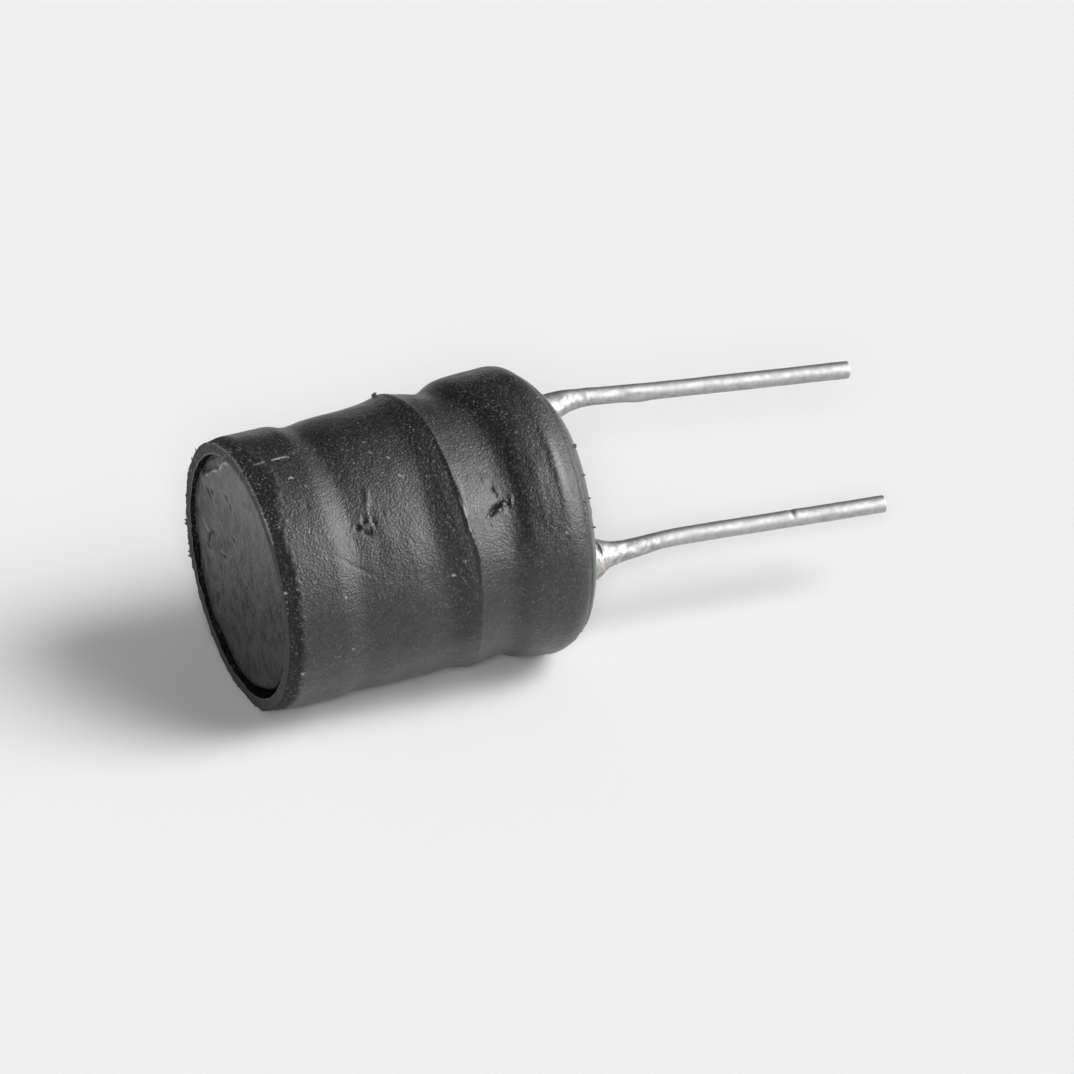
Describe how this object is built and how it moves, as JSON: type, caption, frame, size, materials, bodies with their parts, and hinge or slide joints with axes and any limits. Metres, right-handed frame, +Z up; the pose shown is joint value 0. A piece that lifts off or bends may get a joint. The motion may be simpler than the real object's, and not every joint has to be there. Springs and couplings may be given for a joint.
{
  "type": "drum core inductor",
  "caption": "Radial leaded drum core inductor: ferrite drum wound with copper wire in a black shrink sleeve, lying on its side with two tinned leads.",
  "frame": {"origin": "on the bench plane, under the middle of the whole part", "axes": "+X along the body towards the lead tips, +Z up from the bench it lies on, +Y away from the side that the picture shows"},
  "size_m": [0.0252, 0.0108, 0.0107],
  "materials": {
    "ferrite": "sintered ferrite, ground end face, satin dark grey",
    "enamelled_copper": "copper magnet wire with clear red-brown enamel",
    "tinned_wire": "tinned copper-clad steel wire, satin, lightly dented",
    "solder": "tin solder, bright and slightly grainy",
    "adhesive": "cured epoxy adhesive, amber",
    "shrink_tube": "black heat-shrink tubing, pebbly satin, dusty"
  },
  "bodies": {
    "root": {"drum_core": "ferrite", "winding": "enamelled_copper", "lead_1": "tinned_wire", "lead_2": "tinned_wire", "lead_adhesive_1": "adhesive", "lead_adhesive_2": "adhesive", "solder_joint_1": "solder", "solder_joint_2": "solder", "shrink_sleeve": "shrink_tube"}
  },
  "joints": []
}
